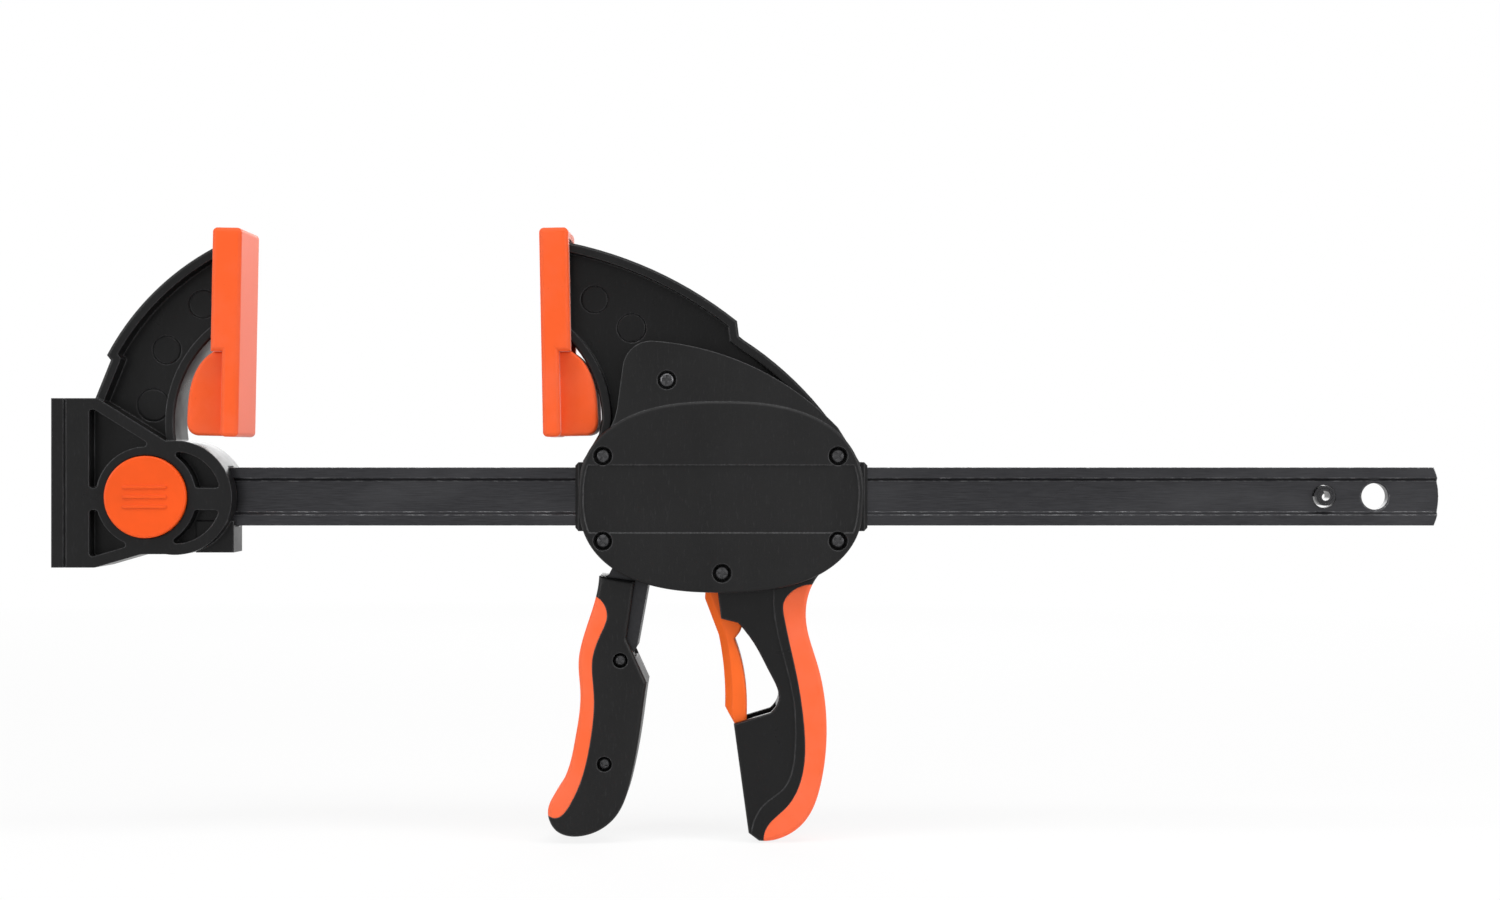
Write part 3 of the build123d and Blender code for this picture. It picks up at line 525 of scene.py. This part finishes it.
def wound_height(make, share):
    """Height of the wire's middle over the windings: one closed coil at each end."""
    wire = make.given["Wire"]
    closed = make.math("DIVIDE", 1.0, make.given["Turns"])
    opened = make.math("SUBTRACT", 1.0, closed)
    free = make.math("SUBTRACT", make.given["Length"], make.math("MULTIPLY", wire, 3.0))
    height = make.math("MULTIPLY", wire, 0.5)
    for begin, stop, rise in ((0.0, closed, wire), (closed, opened, free), (opened, 1.0, wire)):
        step = make.add("ShaderNodeMapRange", Value=share, From_Min=begin, From_Max=stop,
                        To_Min=0.0, To_Max=rise)
        height = make.math("ADD", height, step.outputs[0])
    return height


def spring_tree():
    """Round-wire spring wound along X, turned about Z and moved to the point X, Y, Z."""
    make = Nodes("closed_end_springs", dict.fromkeys(SPRING_INPUTS, 0.0))
    given = make.given
    winding = make.add("GeometryNodeCurveSpiral", Resolution=48, Rotations=given["Turns"],
                       Start_Radius=given["Start Radius"], End_Radius=given["End Radius"],
                       Height=0.0)
    share = make.add("GeometryNodeSplineParameter").outputs["Factor"]
    wound = make.add("GeometryNodeSetPosition", Geometry=winding.outputs[0],
                     Offset=(0.0, 0.0, wound_height(make, share)))
    section = make.add("GeometryNodeCurvePrimitiveCircle", Resolution=12,
                       Radius=make.math("MULTIPLY", given["Wire"], 0.5))
    coil = make.add("GeometryNodeCurveToMesh", Curve=wound.outputs[0],
                    Profile_Curve=section.outputs[0], Fill_Caps=True)
    along_x = make.placed(coil.outputs[0], turn=(0.0, pi / 2, 0.0))
    return make.finish(make.placed(along_x, (given["X"], given["Y"], given["Z"]),
                                   (0.0, 0.0, given["Turn"])))


SPRING_TREE = spring_tree()


def spring(node, body, axis, sizes):
    """Replaces one CAD spring with one wound along the given axis of its box."""
    low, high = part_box(node)
    start = (low + high) / 2
    start[axis] = low[axis]
    far_end = start.copy()
    far_end[axis] = high[axis]
    length = high[axis] - low[axis]
    values = {"Length": length, "X": start.x, "Y": start.y, "Z": start.z,
              "Turn": axis * pi / 2, "Finish": spring_steel, **sizes}
    piece = grown(node + "_wound", SPRING_TREE, [start], 40.0, values)
    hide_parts(node)
    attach(piece, body)
    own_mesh(piece)


spring("drive_spring", "sliding_head", ALONG_X,
       DRIVE_SPRING)
spring("brake_spring", "sliding_head", ALONG_X, BRAKE_SPRING)
spring("lock_spring", "bar_and_fixed_jaw", ALONG_Y,
       LOCK_SPRING)


# ---------------------------------------------------------------- rolled stop pin

PIN_X = 445.6 * MM
PIN_RADIUS = 4.68 * MM
PIN_SHEET = 1.0 * MM
PIN_PITCH = 1.12 * PIN_SHEET
PIN_TURNS = 2.2
PIN_HALF_LENGTH = 5.0 * MM
STEPS_PER_TURN = 40


def rolled_pin():
    """Coiled spring pin: one strip of sheet rolled up on itself, with plain ends."""
    form = bmesh.new()
    rows = []
    steps = int(PIN_TURNS * STEPS_PER_TURN)
    for step in range(steps + 1):
        turn = 2 * pi * step / STEPS_PER_TURN
        outer = PIN_RADIUS - PIN_PITCH * step / STEPS_PER_TURN
        inner = outer - PIN_SHEET
        row = []
        for radius, y in (
            (outer, -PIN_HALF_LENGTH),
            (outer, PIN_HALF_LENGTH),
            (inner, PIN_HALF_LENGTH),
            (inner, -PIN_HALF_LENGTH),
        ):
            row.append(form.verts.new((PIN_X + radius * cos(pi - turn), y,
                                       BAR_Z + radius * sin(pi - turn))))
        rows.append(row)
    for row, following in zip(rows, rows[1:]):
        for side in range(4):
            turned = (side + 1) % 4
            form.faces.new((row[side], row[turned], following[turned], following[side]))
    form.faces.new(rows[0])
    form.faces.new(reversed(rows[-1]))
    bmesh.ops.recalc_face_normals(form, faces=form.faces)
    mesh = bpy.data.meshes.new("stop_pin_rolled")
    form.to_mesh(mesh)
    form.free()
    for face in mesh.polygons:
        face.use_smooth = True
    mesh.set_sharp_from_angle(angle=radians(40.0))
    mesh.materials.append(dark_pin)
    piece = bpy.data.objects.new("stop_pin_rolled", mesh)
    bpy.context.collection.objects.link(piece)
    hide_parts("stop_pin")
    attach(piece, "bar_and_fixed_jaw")


rolled_pin()


# ---------------------------------------------------------------- stage, light and camera

FLOOR_REACH = 6.0
PAPER_WHITE = 0.95
GLOW_NEAR = 0.86
GLOW_FAR = 1.0
AMBIENT = 0.14
CENTRE = (0.2, 0.0, -0.05)
CAMERA_PLACE = (0.208, -1.0, -0.048)
CAMERA_LENS = 57.83
SENSOR_WIDTH = 36.0


def plain_sheet(name, corners, material):
    """Flat sheet of the studio, which is no part of the clamp."""
    mesh = bpy.data.meshes.new(name)
    mesh.from_pydata(corners, [], [(0, 1, 2, 3)])
    mesh.materials.append(material)
    sheet = bpy.data.objects.new(name, mesh)
    bpy.context.collection.objects.link(sheet)


def floor_finish():
    """White paper: bright where seen directly, still taking the clamp's shadow."""
    material = bpy.data.materials.new("studio_paper")
    material.use_nodes = True
    tree = material.node_tree
    tree.nodes.clear()
    output = tree.nodes.new("ShaderNodeOutputMaterial")
    paper = tree.nodes.new("ShaderNodeBsdfDiffuse")
    paper.inputs["Color"].default_value = (PAPER_WHITE, PAPER_WHITE, PAPER_WHITE, 1.0)
    glow = tree.nodes.new("ShaderNodeEmission")
    glow.inputs["Strength"].default_value = 1.0
    away = tree.nodes.new("ShaderNodeVectorMath")
    away.operation = "LENGTH"
    place = tree.nodes.new("ShaderNodeTexCoord")
    tree.links.new(place.outputs["Object"], away.inputs[0])
    glow_share = ramp(tree, away.outputs["Value"], 0.45, 1.6, GLOW_NEAR, GLOW_FAR)
    share = combine(tree, "MULTIPLY", shown_rays(tree), glow_share)
    mix = tree.nodes.new("ShaderNodeMixShader")
    tree.links.new(share, mix.inputs[0])
    tree.links.new(paper.outputs[0], mix.inputs[1])
    tree.links.new(glow.outputs[0], mix.inputs[2])
    tree.links.new(mix.outputs[0], output.inputs["Surface"])
    return material


corners = [(x * FLOOR_REACH, y * FLOOR_REACH, FLOOR_Z)
           for x, y in ((-1, -1), (1, -1), (1, 1), (-1, 1))]
plain_sheet("studio_floor", corners, floor_finish())


def studio_world():
    """Plain white backdrop, which itself gives the clamp only a little light."""
    world = bpy.data.worlds.new("studio_white")
    bpy.context.scene.world = world
    world.use_nodes = True
    tree = world.node_tree
    tree.nodes.clear()
    output = tree.nodes.new("ShaderNodeOutputWorld")
    mix = tree.nodes.new("ShaderNodeMixShader")
    tree.links.new(shown_rays(tree), mix.inputs[0])
    for socket, strength in ((mix.inputs[1], AMBIENT), (mix.inputs[2], 1.0)):
        white = tree.nodes.new("ShaderNodeBackground")
        white.inputs["Color"].default_value = (1.0, 1.0, 1.0, 1.0)
        white.inputs["Strength"].default_value = strength
        tree.links.new(white.outputs[0], socket)
    tree.links.new(mix.outputs[0], output.inputs["Surface"])


studio_world()


def soft_box(name, place, size, power):
    """Rectangular lamp turned to the middle of the clamp; power in watts."""
    data = bpy.data.lights.new(name, "AREA")
    data.shape = "RECTANGLE"
    data.size, data.size_y = size
    data.energy = power
    lamp = bpy.data.objects.new(name, data)
    bpy.context.collection.objects.link(lamp)
    lamp.location = place
    aim = Vector(CENTRE) - Vector(place)
    lamp.rotation_euler = aim.to_track_quat("-Z", "Y").to_euler()


soft_box("overhead_box", (0.25, -0.45, 1.10), (1.6, 0.5), 12.8)
soft_box("left_box", (-1.15, -0.80, 0.30), (0.5, 1.1), 11.5)
soft_box("right_box", (1.50, -0.75, 0.30), (0.5, 1.1), 12.0)
soft_box("rear_box", (0.25, 1.30, 0.45), (1.6, 0.6), 8.3)

camera_data = bpy.data.cameras.new("camera")
camera_data.sensor_fit = "HORIZONTAL"
camera_data.sensor_width = SENSOR_WIDTH
camera_data.lens = CAMERA_LENS
camera = bpy.data.objects.new("camera", camera_data)
bpy.context.collection.objects.link(camera)
camera.location = CAMERA_PLACE
camera.rotation_euler = (radians(90.0), 0.0, 0.0)
bpy.context.scene.camera = camera
bpy.context.scene.view_settings.view_transform = "Standard"
